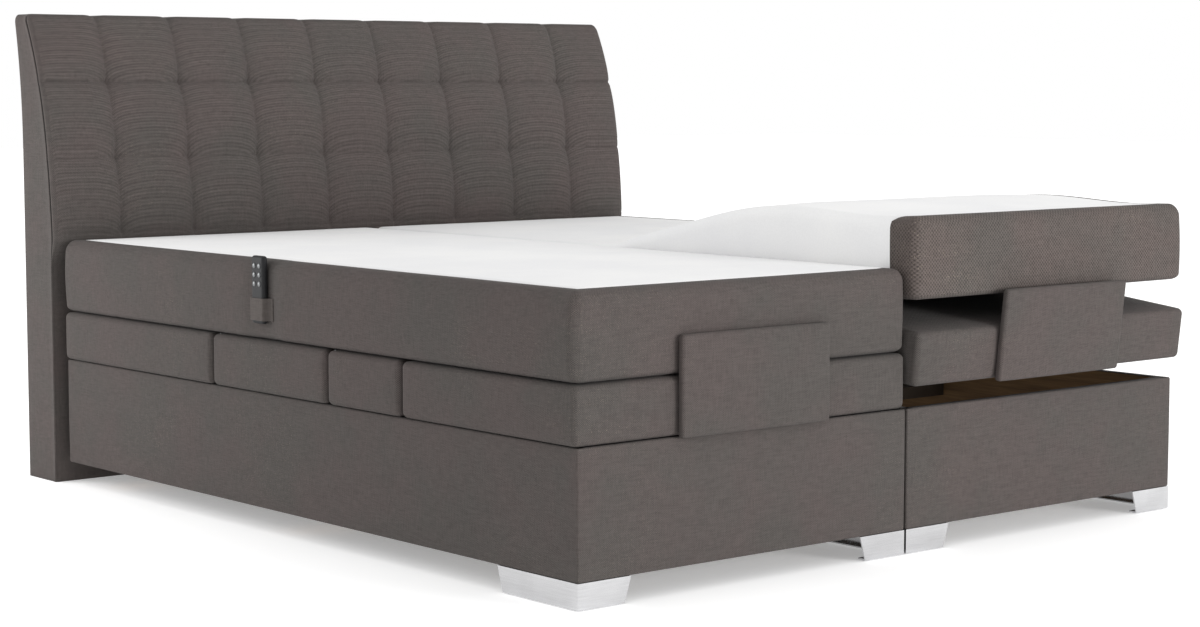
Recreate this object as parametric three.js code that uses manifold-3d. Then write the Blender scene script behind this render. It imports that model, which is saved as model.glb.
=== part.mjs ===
// Electrically adjustable boxspring bed, 180 x 200 cm: two independent halves, each a box with four
// hinged sections, a dual drive and a mattress, in front of one padded headboard.
// Millimetres. X runs across the bed, +Y from the foot end to the headboard, Z up from the floor.
// Inside the file Y is counted from the foot face of the boxes; the last lines move the origin.
import * as THREE from 'three';
import { mergeVertices } from 'three/addons/utils/BufferGeometryUtils.js';
import { RoundedBoxGeometry } from 'three/addons/geometries/RoundedBoxGeometry.js';
import Module from 'manifold-3d';

const wasm = await Module();
wasm.setup();

// ---------------------------------------------------------------- driving sizes
const BED_WIDTH = 1800;
const BED_LENGTH = 2000;
const HALF_GAP = 6;
const HALF_WIDTH = (BED_WIDTH - HALF_GAP) / 2;
const SIDE = HALF_WIDTH / 2;
const SLIT = 0.3;

const FOOT_HEIGHT = 54;
const BOX_TOP = 311.7;
const SECTION_TOP = 430.6;
const MATTRESS_TOP = 610;
const ORIGIN_Y = 1072.5;

// Section joints, counted from the foot end, and the slot left open at each.
const KNEE_Y = 567;
const THIGH_Y = 838.5;
const BACK_Y = 1304;
const SECTION_GAP = 8;
const SECTION_EDGE = 12;

const COVER = 1.5;
const BOARD = 20;
const FRAME_SIDE = SIDE - COVER - SLIT;
const FRAME_INNER = FRAME_SIDE - BOARD;

const ROD_RADIUS = 3;
const ROD_INSET = 3.6;
const UPPER_AXIS_Z = SECTION_TOP - ROD_INSET;
const LOWER_AXIS_Z = BOX_TOP + SLIT + ROD_INSET;

// Lifting shafts of the drive, one under each raised hinge.
const SHAFT_Z = 250;
const SHAFT_RADIUS = 12.5;
const ROLLER_RADIUS = 20;
const BACK_LEVER = 300;
const BACK_LEVER_START = 7.9;
const LEG_LEVER = 220;
const LEG_LEVER_START = 10.7;
const LEG_SHAFT_RATIO = 0.75;

// Where each mattress folds, and how far it folds for each degree of the thigh section.
const MATTRESS_BACK_FOLD = { y: 1240, z: 520 };
const MATTRESS_THIGH_FOLD = { y: 1000, z: 600, ratio: 0.6 };
const MATTRESS_KNEE_FOLD = { y: 596, z: 450, ratio: -0.533 };
const KNEE_HOLLOW = 17;
const BACK_MAX = 60;
const THIGH_MAX = 35;
const KNEE_RATIO = -28 / 21.6;

// The right half stands with its knee raised, the left half lies flat.
const RAISED_THIGH = 21.6;

const rad = THREE.MathUtils.degToRad;

// ---------------------------------------------------------------- finishes
const FINISH = {
  upholstery: { color: 0x5f5853, roughness: 0.95, metalness: 0 },
  ticking: { color: 0xe9e8e6, roughness: 0.9, metalness: 0 },
  wood: { color: 0x7a5638, roughness: 0.75, metalness: 0 },
  black_steel: { color: 0x202124, roughness: 0.5, metalness: 0.6 },
  zinc_steel: { color: 0x9da1a4, roughness: 0.4, metalness: 1 },
  foot_metal: { color: 0xb9bbbd, roughness: 0.3, metalness: 1 },
  black_plastic: { color: 0x16171a, roughness: 0.45, metalness: 0 },
  silver_key: { color: 0xc9cbce, roughness: 0.3, metalness: 0.8 },
};

function piece(name, geometry, finish) {
  const mesh = new THREE.Mesh(geometry, new THREE.MeshStandardMaterial(FINISH[finish]));
  mesh.name = name;
  return mesh;
}

function groupAt(name, x, y, z) {
  const group = new THREE.Group();
  group.name = name;
  group.position.set(x, y, z);
  return group;
}

// ---------------------------------------------------------------- solids
function toSolid(geometry) {
  const plain = geometry.clone();
  plain.deleteAttribute('normal');
  plain.deleteAttribute('uv');
  const merged = mergeVertices(plain, 1e-4);
  const mesh = new wasm.Mesh({
    numProp: 3,
    vertProperties: new Float32Array(merged.attributes.position.array),
    triVerts: new Uint32Array(merged.index.array),
  });
  return new wasm.Manifold(mesh);
}

function toGeometry(solid) {
  const mesh = solid.getMesh();
  const geometry = new THREE.BufferGeometry();
  geometry.setAttribute('position', new THREE.BufferAttribute(mesh.vertProperties, 3));
  geometry.setIndex(new THREE.BufferAttribute(mesh.triVerts, 1));
  geometry.computeVertexNormals();
  return geometry;
}

function join(first, ...others) {
  return toGeometry(others.reduce((whole, next) => whole.add(toSolid(next)), toSolid(first)));
}

function cut(first, ...tools) {
  return toGeometry(tools.reduce((whole, next) => whole.subtract(toSolid(next)), toSolid(first)));
}

function block(x0, x1, y0, y1, z0, z1) {
  const geometry = new THREE.BoxGeometry(x1 - x0, y1 - y0, z1 - z0);
  return geometry.translate((x0 + x1) / 2, (y0 + y1) / 2, (z0 + z1) / 2);
}

function softBlock(x0, x1, y0, y1, z0, z1, radius, segments = 2) {
  const geometry = new RoundedBoxGeometry(x1 - x0, y1 - y0, z1 - z0, segments, radius);
  return geometry.translate((x0 + x1) / 2, (y0 + y1) / 2, (z0 + z1) / 2);
}

function cylinderX(radius, x0, x1, y, z, segments = 18) {
  const geometry = new THREE.CylinderGeometry(radius, radius, x1 - x0, segments);
  return geometry.rotateZ(Math.PI / 2).translate((x0 + x1) / 2, y, z);
}

function cylinderZ(radius, z0, z1, x, y, segments = 18) {
  const geometry = new THREE.CylinderGeometry(radius, radius, z1 - z0, segments);
  return geometry.rotateX(Math.PI / 2).translate(x, y, (z0 + z1) / 2);
}

function shapeOf(points) {
  return new THREE.Shape(points.map(([a, b]) => new THREE.Vector2(a, b)));
}

function prism(points, depth) {
  return new THREE.ExtrudeGeometry(shapeOf(points), { depth, bevelEnabled: false });
}

// Points are (y, z) pairs, pushed along X.
function prismX(points, x0, x1) {
  const turn = new THREE.Matrix4().set(0, 0, 1, x0, 1, 0, 0, 0, 0, 1, 0, 0, 0, 0, 0, 1);
  return prism(points, x1 - x0).applyMatrix4(turn);
}

// Points are (x, z) pairs, pushed along Y.
function prismY(points, y0, y1) {
  return prism(points, y1 - y0).rotateX(Math.PI / 2).translate(0, y1, 0);
}

// Points are (x, y) pairs, pushed along Z.
function prismZ(points, z0, z1) {
  return prism(points, z1 - z0).translate(0, 0, z0);
}

function arc(a, b, radius, from, to, steps) {
  return Array.from({ length: steps + 1 }, (_, i) => {
    const angle = rad(from + ((to - from) * i) / steps);
    return [a + radius * Math.cos(angle), b + radius * Math.sin(angle)];
  });
}

// Rectangle with one radius for its lower corners and one for its upper ones.
function softRectangle(a0, a1, b0, b1, lower, upper, steps = 5) {
  return [
    ...arc(a0 + lower, b0 + lower, lower, 180, 270, steps),
    ...arc(a1 - lower, b0 + lower, lower, 270, 360, steps),
    ...arc(a1 - upper, b1 - upper, upper, 0, 90, steps),
    ...arc(a0 + upper, b1 - upper, upper, 90, 180, steps),
  ];
}

// ---------------------------------------------------------------- box
function boxRing(outer, inner, z0, z1) {
  const shape = shapeOf(softRectangle(-outer, outer, SIDE - outer, BED_LENGTH - SIDE + outer, 4, 4, 3));
  const hole = softRectangle(-inner, inner, SIDE - inner, BED_LENGTH - SIDE + inner, 2, 2, 2);
  shape.holes.push(new THREE.Path(hole.map(([a, b]) => new THREE.Vector2(a, b))));
  return new THREE.ExtrudeGeometry(shape, { depth: z1 - z0, bevelEnabled: false }).translate(0, 0, z0);
}

function boxCover() {
  const wall = boxRing(SIDE, SIDE - COVER, FOOT_HEIGHT, BOX_TOP);
  const topFlange = boxRing(SIDE, SIDE - BOARD - 3, BOX_TOP - COVER, BOX_TOP);
  const bottomFlange = boxRing(SIDE, SIDE - 2 * BOARD, FOOT_HEIGHT, FOOT_HEIGHT + COVER);
  return join(wall, topFlange, bottomFlange);
}

// Four boards and two cross boards; the one at the head end carries the rear legs.
const FRAME_BOTTOM = FOOT_HEIGHT + COVER + SLIT;
const CROSS_BOARDS = [1050, 1850];

function boxFrame() {
  const walls = boxRing(FRAME_SIDE, FRAME_INNER, FRAME_BOTTOM, BOX_TOP - COVER - SLIT);
  const boards = CROSS_BOARDS.map((y) => {
    return block(-FRAME_INNER - 1, FRAME_INNER + 1, y - 45, y + 45, FRAME_BOTTOM, FRAME_BOTTOM + 18);
  });
  return join(walls, ...boards);
}

// Bent sheet corner foot: two upright wings with a sloping free end, and flanges above and below.
function cornerFoot(corner, inward) {
  const sheet = 3;
  const top = FOOT_HEIGHT - SLIT;
  const pad = 2;
  const front = { top: 133, bottom: 117 };
  const side = { top: 249, bottom: 233 };
  const x = (distance) => corner + inward * distance;
  const frontOutline = [[x(0), pad], [x(front.bottom), pad], [x(front.top), top], [x(0), top]];
  const frontWing = prismY(frontOutline, 0, sheet);
  const sideWing = prismX(
    [[0, pad], [side.bottom, pad], [side.top, top], [0, top]],
    Math.min(x(0), x(sheet)),
    Math.max(x(0), x(sheet)),
  );
  const flange = (width, frontEnd, sideEnd, z0, z1) => prismZ(
    [
      [x(0.5), 0.5],
      [x(frontEnd), 0.5],
      [x(frontEnd), width],
      [x(width), width],
      [x(width), sideEnd],
      [x(0.5), sideEnd],
    ],
    z0,
    z1,
  );
  const topFlange = flange(38, front.top - 2, side.top - 2, top - sheet, top);
  const bottomFlange = flange(24, front.bottom - 1, side.bottom - 1, pad, pad + sheet);
  const glides = [[front.bottom - 14, 12], [13, 14], [13, side.bottom - 14]].map(([across, along]) => {
    return cylinderZ(9, 0, pad + 1, x(across), along, 16);
  });
  return join(frontWing, sideWing, topFlange, bottomFlange, ...glides);
}

function rearLeg(x) {
  const shank = cylinderZ(26, 0, FRAME_BOTTOM - SLIT, x, CROSS_BOARDS[1]);
  const flange = cylinderZ(38, FRAME_BOTTOM - SLIT - 5, FRAME_BOTTOM - SLIT, x, CROSS_BOARDS[1]);
  return join(shank, flange);
}

// ---------------------------------------------------------------- drive
const RAIL_X = 380;
const RAIL_ENDS = [690, 1452];
const RAIL_Z = [205, 278];

function driveFrame() {
  const rails = [-RAIL_X, RAIL_X].map((x) => block(x - 2, x + 2, ...RAIL_ENDS, ...RAIL_Z));
  const bars = [RAIL_ENDS[0], RAIL_ENDS[1] - 30].map((y) => {
    return block(-FRAME_INNER + SLIT, FRAME_INNER - SLIT, y, y + 30, RAIL_Z[0], RAIL_Z[0] + 30);
  });
  const bearings = [THIGH_Y, BACK_Y].map((y) => cylinderX(SHAFT_RADIUS + 0.5, -400, 400, y, SHAFT_Z));
  return cut(join(rails[0], rails[1], ...bars), ...bearings);
}

// Dual drive housing: a long case with a forked bearing at each end for the two lifting shafts.
function driveUnit() {
  const reach = 70;
  const body = softBlock(-75, 75, THIGH_Y + reach, BACK_Y - reach, 185, 285, 14);
  const cheeks = [-40, 40].map((x) => block(x - 10, x + 10, THIGH_Y - 16, BACK_Y + 16, 232, 268));
  const ribEnds = [THIGH_Y + reach + 20, BACK_Y - reach - 20];
  const ribs = [-50, 0, 50].map((x) => block(x - 3, x + 3, ...ribEnds, 280, 288));
  const bearings = [THIGH_Y, BACK_Y].map((y) => cylinderX(SHAFT_RADIUS + 0.5, -60, 60, y, SHAFT_Z));
  const inlet = block(60, 80, 1060, 1084, 205, 223);
  return cut(join(body, ...cheeks, ...ribs), ...bearings, inlet);
}

// Lifting shaft on its own axis: tube, crank, two lever arms and their rollers. Levers point along
// +Y for direction 1 and toward the foot end for direction -1. The arms lie below the line from the
// shaft to the rollers, clear of the corner of the raised section.
function liftShaft(length, start, direction) {
  const tube = cylinderX(SHAFT_RADIUS, -RAIL_X - 6, RAIL_X + 6, 0, 0);
  const crank = block(-8, 8, -14, 14, -55, 0);
  const tip = [direction * length * Math.cos(rad(start)), length * Math.sin(rad(start))];
  const tilt = direction > 0 ? rad(start) : -rad(start);
  const arms = [-200, 200].map((x) => {
    const plate = block(x - 4, x + 4, -18, length + 6, -22, 0);
    return (direction > 0 ? plate : plate.rotateZ(Math.PI)).rotateX(tilt);
  });
  const rollers = [-200, 200].map((x) => cylinderX(ROLLER_RADIUS, x - 14, x + 14, ...tip, 28));
  return join(tube, crank, ...arms, ...rollers);
}

// ---------------------------------------------------------------- sections
const SECTION_BOTTOM = BOX_TOP + SLIT;

function section(y0, y1) {
  return softBlock(-SIDE, SIDE, y0, y1, SECTION_BOTTOM, SECTION_TOP, SECTION_EDGE);
}

// The foot section has a shallow recess on its end and underside for the stop bracket.
function calfSection() {
  const whole = section(0, KNEE_Y - SECTION_GAP / 2);
  const endRecess = block(-150.5, 150.5, -1, 2.6, 305, 400.5);
  const lowerRecess = block(-150.5, 150.5, -1, 150.5, 305, SECTION_BOTTOM + 2.7);
  return cut(whole, endRecess, lowerRecess);
}

function stopBracket() {
  const upright = block(-150, 150, SLIT, 2.3, SECTION_BOTTOM + SLIT, 400);
  const sole = block(-150, 150, SLIT, 150, SECTION_BOTTOM + SLIT, SECTION_BOTTOM + 2.4);
  return join(upright, sole);
}

function stopPanel() {
  return softBlock(-197.5, 197.5, -20.3, -SLIT, 311, 513, 8);
}

// Hinge rod with a leaf; the leaf lies on the section whose face is at leafFace, above or below.
function hinge(axisY, axisZ, leafFace, leafEnd) {
  const rod = cylinderX(ROD_RADIUS, -430, 430, axisY, axisZ, 16);
  const away = Math.sign(axisY - leafFace);
  const near = leafFace + away * SLIT;
  const far = leafFace + away * (SLIT + 2);
  const ends = [near, far].sort((a, b) => a - b);
  const heights = [axisZ, leafEnd].sort((a, b) => a - b);
  return join(rod, block(-420, 420, ...ends, ...heights));
}

// ---------------------------------------------------------------- mattress
const MATTRESS_BOTTOM = SECTION_TOP + 1;
const TOP_EDGE = 45;
const BOTTOM_EDGE = 20;

function mattressBar() {
  const outline = softRectangle(-SIDE, SIDE, MATTRESS_BOTTOM, MATTRESS_TOP, BOTTOM_EDGE, TOP_EDGE, 5);
  return prismY(outline, -5, BED_LENGTH + 5);
}

// Shallow hollow in the underside, where the raised knee of the sections presses into the foam.
function kneeHollow() {
  const low = MATTRESS_BOTTOM - 5;
  const high = MATTRESS_BOTTOM + KNEE_HOLLOW;
  const footSlope = [[450, low], [450, MATTRESS_BOTTOM], [540, high]];
  const headSlope = [[655, high], [745, MATTRESS_BOTTOM], [745, low]];
  return prismX([...footSlope, ...headSlope], -SIDE - 5, SIDE + 5);
}

// One length of the mattress. An end with no fold is a rounded outer end; an end {fold, top, bottom}
// says how far the face steps back at the top and at the underside.
function mattressPart(foot, head) {
  const z0 = MATTRESS_BOTTOM - 5;
  const z1 = MATTRESS_TOP + 5;
  const face = (end, direction) => {
    const y = end.fold.y - direction;
    const topY = y - direction * end.top;
    const bottomY = y - direction * end.bottom;
    return [
      [bottomY - direction * end.bottom * 0.26, z0],
      [bottomY, MATTRESS_BOTTOM],
      [y, end.fold.z],
      [topY, MATTRESS_TOP],
      [topY - direction * end.top * 0.1, z1],
    ];
  };
  const footLine = foot.fold ? face(foot, -1).reverse() : roundedEnd(0, 1);
  const headLine = head.fold ? face(head, 1) : roundedEnd(BED_LENGTH, -1).reverse();
  const wedge = prismX([...footLine, ...headLine], -SIDE - 5, SIDE + 5);
  const slice = toSolid(mattressBar()).intersect(toSolid(wedge));
  return toGeometry(slice.subtract(toSolid(kneeHollow())));
}

// Rounded outer end of the mattress from its top to its underside, at y, with the body toward +inward.
function roundedEnd(y, inward) {
  const upper = arc(0, 0, TOP_EDGE, 90, 180, 5).map(([a, b]) => {
    return [y + inward * (TOP_EDGE + a), MATTRESS_TOP - TOP_EDGE + b];
  });
  const lower = arc(0, 0, BOTTOM_EDGE, 180, 270, 4).map(([a, b]) => {
    return [y + inward * (BOTTOM_EDGE + a), MATTRESS_BOTTOM + BOTTOM_EDGE + b];
  });
  return [...upper, ...lower];
}

// A fold that closes above its axis steps back by the rise times the tangent of half its angle.
function foldSteps(fold, closing, largest) {
  const halfTurn = Math.tan(rad(largest / 2 + 0.8));
  const top = closing === 'top' ? (MATTRESS_TOP - fold.z) * halfTurn : 0;
  const bottom = closing === 'bottom' ? (fold.z - MATTRESS_BOTTOM) * halfTurn : 0;
  return { fold, top, bottom };
}

const BACK_FOLD = foldSteps(MATTRESS_BACK_FOLD, 'top', BACK_MAX);
const THIGH_FOLD = foldSteps(MATTRESS_THIGH_FOLD, 'top', THIGH_MAX * MATTRESS_THIGH_FOLD.ratio);
const KNEE_FOLD = foldSteps(MATTRESS_KNEE_FOLD, 'bottom', -THIGH_MAX * MATTRESS_KNEE_FOLD.ratio);

// ---------------------------------------------------------------- one half of the bed
// Group that turns about an X axis through (y, z). Its children keep the flat bed's coordinates.
function turned(name, y, z, degrees) {
  const axis = groupAt(name, 0, y, z);
  axis.rotation.x = -rad(degrees);
  const content = groupAt(`${name}_content`, 0, -y, -z);
  axis.add(content);
  return { axis, content };
}

function bedHalf(name, side, thighAngle) {
  const half = groupAt(name, (side * (HALF_GAP + HALF_WIDTH)) / 2, 0, 0);
  const add = (label, geometry, finish, parent = half) => {
    parent.add(piece(`${name}_${label}`, geometry, finish));
  };
  const gap = SECTION_GAP / 2;

  add('box_frame', boxFrame(), 'wood');
  add('box_cover', boxCover(), 'upholstery');
  add('foot_outer', cornerFoot(side * SIDE, -side), 'foot_metal');
  add('foot_inner', cornerFoot(-side * SIDE, side), 'foot_metal');
  add('rear_leg_outer', rearLeg(side * 250), 'black_plastic');
  add('rear_leg_inner', rearLeg(-side * 250), 'black_plastic');
  add('drive_frame', driveFrame(), 'black_steel');
  add('drive_unit', driveUnit(), 'black_plastic');

  const backShaft = groupAt(`${name}_back_shaft_axis`, 0, BACK_Y, SHAFT_Z);
  add('back_lift_shaft', liftShaft(BACK_LEVER, BACK_LEVER_START, 1), 'zinc_steel', backShaft);
  const legShaft = groupAt(`${name}_leg_shaft_axis`, 0, THIGH_Y, SHAFT_Z);
  legShaft.rotation.x = -rad(thighAngle * LEG_SHAFT_RATIO);
  add('leg_lift_shaft', liftShaft(LEG_LEVER, LEG_LEVER_START, -1), 'zinc_steel', legShaft);
  half.add(backShaft, legShaft);

  add('section_seat', section(THIGH_Y + gap, BACK_Y - gap), 'upholstery');
  add('hinge_back', hinge(BACK_Y, UPPER_AXIS_Z, BACK_Y - gap, 380), 'zinc_steel');
  add('hinge_thigh', hinge(THIGH_Y, UPPER_AXIS_Z, THIGH_Y + gap, 380), 'zinc_steel');
  add('section_back', section(BACK_Y + gap, BED_LENGTH), 'upholstery');

  const thigh = turned(`${name}_thigh_axis`, THIGH_Y, UPPER_AXIS_Z, thighAngle);
  add('section_thigh', section(KNEE_Y + gap, THIGH_Y - gap), 'upholstery', thigh.content);
  add('hinge_knee', hinge(KNEE_Y, LOWER_AXIS_Z, KNEE_Y + gap, 362), 'zinc_steel', thigh.content);
  const calf = turned(`${name}_knee_axis`, KNEE_Y, LOWER_AXIS_Z, thighAngle * KNEE_RATIO);
  add('section_calf', calfSection(), 'upholstery', calf.content);
  add('stop_bracket', stopBracket(), 'zinc_steel', calf.content);
  add('stop_panel', stopPanel(), 'upholstery', calf.content);
  thigh.content.add(calf.axis);
  half.add(thigh.axis);

  const { y: thighY, z: thighZ, ratio: thighRatio } = MATTRESS_THIGH_FOLD;
  const { y: kneeY, z: kneeZ, ratio: kneeRatio } = MATTRESS_KNEE_FOLD;
  add('mattress_back', mattressPart(BACK_FOLD, {}), 'ticking');
  add('mattress_seat', mattressPart(THIGH_FOLD, BACK_FOLD), 'ticking');
  const lap = turned(`${name}_mattress_thigh_axis`, thighY, thighZ, thighAngle * thighRatio);
  add('mattress_thigh', mattressPart(KNEE_FOLD, THIGH_FOLD), 'ticking', lap.content);
  const leg = turned(`${name}_mattress_knee_axis`, kneeY, kneeZ, thighAngle * kneeRatio);
  add('mattress_leg', mattressPart({}, KNEE_FOLD), 'ticking', leg.content);
  lap.content.add(leg.axis);
  half.add(lap.axis);
  return half;
}

// ---------------------------------------------------------------- headboard
const HEADBOARD_SIDE = 920;
const HEADBOARD_FRONT = 2040;
const HEADBOARD_BACK = 2180;
const COLUMN = 210;
const ROWS = [620, 810, 1000, 1165];
const PROUD = 24;
const PUFF = 19;

// The padding is upright up to row 1, then leans back in a gentle curve up to its rounded top.
function frontLine(z) {
  const lean = Math.max(0, z - ROWS[0]) / (ROWS[3] - ROWS[0]);
  return HEADBOARD_FRONT + 38 * lean + 86 * lean * lean * lean;
}

function backLine(z) {
  const lean = Math.max(0, z - 850) / 320;
  return HEADBOARD_BACK + 30 * lean * lean;
}

function swell(t) {
  return Math.sqrt(Math.max(0, 1 - (2 * t - 1) ** 2));
}

function smooth(t) {
  const clamped = Math.min(1, Math.max(0, t));
  return clamped * clamped * (3 - 2 * clamped);
}

// Share of the padding's full thickness, which runs out to nothing at the side panels.
function sideFade(x) {
  return smooth((HEADBOARD_SIDE - Math.abs(x)) / 40);
}

// How far the padding stands forward: least at the seams and most between the rows of tufts.
function puffAt(x, z) {
  const column = Math.abs(x) / COLUMN + 0.5;
  const across = swell(column - Math.floor(column));
  const row = ROWS.findIndex((level, i) => i < 3 && z >= level && z < ROWS[i + 1]);
  const up = row < 0 ? 0 : swell((z - ROWS[row]) / (ROWS[row + 1] - ROWS[row]));
  const held = row === 2 && z > 1080 ? 1 : 0.35 + 0.65 * up;
  return sideFade(x) * smooth((z - 560) / 60) * (PROUD + PUFF * across * held);
}

// Closed (y, z) outline of the padding at one station across the headboard.
function headboardRing(x) {
  const inset = Math.max(0, Math.abs(x) - (HEADBOARD_SIDE - 12));
  const levels = [0, 300, 560, 590, 620, 660, 715, 770, 810, 850, 905, 960, 1000, 1040, 1080, 1120, 1150];
  const front = levels.map((z) => [frontLine(z) - puffAt(x, z) + inset, z]);
  const forward = (PROUD + PUFF / 2) * sideFade(x);
  const crest = [[2163 - forward, 1164], [2174 - forward, 1169.5], [2187, 1170], [2200, 1163]];
  const top = crest.map(([y, z]) => [y, z - inset * 0.6]);
  const back = [1140, 1060, 980, 900, 850, 0].map((z) => [backLine(z) - inset * 0.5, z]);
  return [...front, ...top, ...back];
}

// Body made of one closed outline per station along X, closed at both ends.
function loftX(stations, ringAt) {
  const rings = stations.map((x) => ringAt(x).map(([y, z]) => [x, y, z]));
  const count = rings[0].length;
  const index = [];
  for (let s = 0; s + 1 < rings.length; s += 1) {
    for (let i = 0; i < count; i += 1) {
      const a = s * count + i;
      const b = s * count + ((i + 1) % count);
      index.push(a, a + count, b, b, a + count, b + count);
    }
  }
  const outline = rings[0].map(([, y, z]) => new THREE.Vector2(y, z));
  const caps = THREE.ShapeUtils.triangulateShape(outline, []);
  const last = (rings.length - 1) * count;
  for (const [a, b, c] of caps) {
    index.push(a, c, b, last + a, last + b, last + c);
  }
  const geometry = new THREE.BufferGeometry();
  geometry.setAttribute('position', new THREE.Float32BufferAttribute(rings.flat(2), 3));
  geometry.setIndex(index);
  return geometry;
}

function headboardStations() {
  const ends = [0, 4, 12, 24, 40].map((step) => HEADBOARD_SIDE - step);
  const stations = ends.map((x) => -x);
  for (let seam = -3.5; seam <= 3.5; seam += 1) {
    const x = seam * COLUMN;
    stations.push(...[-60, -25, 0, 25, 60].map((step) => x + step));
  }
  return [...stations, ...ends.reverse()];
}

const CORE_SIDE = HEADBOARD_SIDE - 22;
const CORE_THICKNESS = 24;
const CORE_TOP = 1125;

function coreOutline(thickness, depth, top) {
  const levels = [0, 850, 920, 990, 1060, top];
  const front = levels.map((z) => [backLine(z) - thickness, z]);
  const back = levels.map((z) => [backLine(z) + depth, z]).reverse();
  return [...front, ...back];
}

function headboardCore() {
  return prismX(coreOutline(CORE_THICKNESS, -0.5, CORE_TOP), -CORE_SIDE, CORE_SIDE);
}

function headboardUpholstery() {
  const outline = coreOutline(CORE_THICKNESS + SLIT, 20, CORE_TOP + SLIT);
  outline[0][1] = -5;
  outline[outline.length - 1][1] = -5;
  const pocket = prismX(outline, -CORE_SIDE - SLIT, CORE_SIDE + SLIT);
  return cut(loftX(headboardStations(), headboardRing), pocket);
}

// Spacer between a box and the headboard: a channel with its two flanges on the faces.
function headboardBracket(x) {
  const near = BED_LENGTH + SLIT;
  const far = HEADBOARD_FRONT - SLIT;
  const boxFlange = block(x - 40, x + 40, near, near + 3, 120, 200);
  const boardFlange = block(x - 40, x + 40, far - 3, far, 120, 200);
  const web = block(x - 2, x + 2, near, far, 120, 200);
  return join(boxFlange, boardFlange, web);
}

// ---------------------------------------------------------------- handset
const HANDSET_Y = 1084;
const HANDSET = { width: 47, thick: 15, low: 470, high: 620 };
const HANDSET_FACE = -BED_WIDTH / 2 - 0.6 - HANDSET.thick;
const KEY = { radius: 5.2, pitch: 18, fromTop: 22, sink: 3.2, proud: 0.9 };

function keyPlaces() {
  const rows = [0, 1, 2];
  return rows.flatMap((row) => [-0.5, 0.5].map((column) => ({
    y: HANDSET_Y + column * KEY.pitch,
    z: HANDSET.high - KEY.fromTop - row * KEY.pitch,
  })));
}

function handsetShell() {
  const body = softBlock(
    HANDSET_FACE,
    HANDSET_FACE + HANDSET.thick,
    HANDSET_Y - HANDSET.width / 2,
    HANDSET_Y + HANDSET.width / 2,
    HANDSET.low,
    HANDSET.high,
    5,
  );
  const wells = keyPlaces().map(({ y, z }) => {
    return cylinderX(KEY.radius + 0.4, HANDSET_FACE - 2, HANDSET_FACE + KEY.sink, y, z, 20);
  });
  return cut(body, ...wells);
}

function key({ y, z }) {
  return cylinderX(KEY.radius, HANDSET_FACE - KEY.proud, HANDSET_FACE + KEY.sink - 1.4, y, z, 20);
}

// Elastic band sewn to the mattress on both sides of the handset, seen from above as a hat shape.
function handsetStrap() {
  const wall = -BED_WIDTH / 2 - SLIT;
  const band = 1.4;
  const inner = HANDSET.width / 2 + 0.5;
  const inside = HANDSET_FACE - 0.5;
  const reach = 34;
  const corner = 3;
  const profile = [
    [wall, -reach],
    [wall - band, -reach],
    [wall - band, -inner - band],
    [inside + corner, -inner - band],
    [inside - band, -inner + corner - band / 2],
    [inside - band, inner - corner + band / 2],
    [inside + corner, inner + band],
    [wall - band, inner + band],
    [wall - band, reach],
    [wall, reach],
    [wall, inner],
    [inside + corner, inner],
    [inside, inner - corner],
    [inside, -inner + corner],
    [inside + corner, -inner],
    [wall, -inner],
  ];
  return prismZ(profile.map(([x, y]) => [x, y + HANDSET_Y]), 477, 527);
}

function handsetGroup() {
  const group = groupAt('handset', 0, 0, 0);
  group.add(piece('handset_shell', handsetShell(), 'black_plastic'));
  keyPlaces().forEach((place, i) => {
    group.add(piece(`handset_key_${i + 1}`, key(place), 'silver_key'));
  });
  return group;
}

// ---------------------------------------------------------------- whole bed
const group = groupAt('adjustable_bed', 0, 0, 0);
const bed = groupAt('bed', 0, -ORIGIN_Y, 0);
bed.add(bedHalf('left', -1, 0));
bed.add(bedHalf('right', 1, RAISED_THIGH));
bed.add(piece('headboard_core', headboardCore(), 'wood'));
bed.add(piece('headboard_upholstery', headboardUpholstery(), 'upholstery'));
bed.add(piece('headboard_bracket_left', headboardBracket(-450), 'zinc_steel'));
bed.add(piece('headboard_bracket_right', headboardBracket(450), 'zinc_steel'));
bed.add(handsetGroup());
bed.add(piece('handset_strap', handsetStrap(), 'black_plastic'));
group.add(bed);
group.updateMatrixWorld(true);

export default group;
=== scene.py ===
"""Adjustable boxspring bed, 180 x 200 cm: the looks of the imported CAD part.

Shapes are worked out in millimetres in bed coordinates: X across the bed, Y from the foot face of
the boxes to the headboard, Z up from the floor. to_scene() turns them into the frame's metres.
"""

import math

import bpy
import numpy as np
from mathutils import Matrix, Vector


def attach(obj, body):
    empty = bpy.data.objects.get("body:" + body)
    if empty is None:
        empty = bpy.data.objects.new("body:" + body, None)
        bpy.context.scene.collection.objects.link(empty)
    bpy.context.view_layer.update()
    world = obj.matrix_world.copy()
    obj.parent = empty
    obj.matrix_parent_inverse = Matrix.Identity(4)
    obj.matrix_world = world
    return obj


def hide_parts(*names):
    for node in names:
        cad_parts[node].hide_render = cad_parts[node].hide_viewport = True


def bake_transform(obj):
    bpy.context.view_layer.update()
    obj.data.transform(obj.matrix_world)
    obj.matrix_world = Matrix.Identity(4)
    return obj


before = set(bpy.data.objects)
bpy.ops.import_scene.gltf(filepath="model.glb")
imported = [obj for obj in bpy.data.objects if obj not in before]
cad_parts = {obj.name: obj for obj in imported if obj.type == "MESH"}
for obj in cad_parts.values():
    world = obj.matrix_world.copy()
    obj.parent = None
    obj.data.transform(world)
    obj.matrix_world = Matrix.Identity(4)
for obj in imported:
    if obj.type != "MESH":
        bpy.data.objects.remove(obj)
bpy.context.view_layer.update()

# ---------------------------------------------------------------- driving sizes, millimetres
ORIGIN_Y = 1072.5
BED_LENGTH = 2000.0
HALF_WIDTH = 897.0
HALF_CENTRE = 451.5
FOOT_HEIGHT = 54.0
BOX_TOP = 311.7
SECTION_BOTTOM = 312.0
SECTION_TOP = 430.6
MATTRESS_BOTTOM = 433.5
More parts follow.
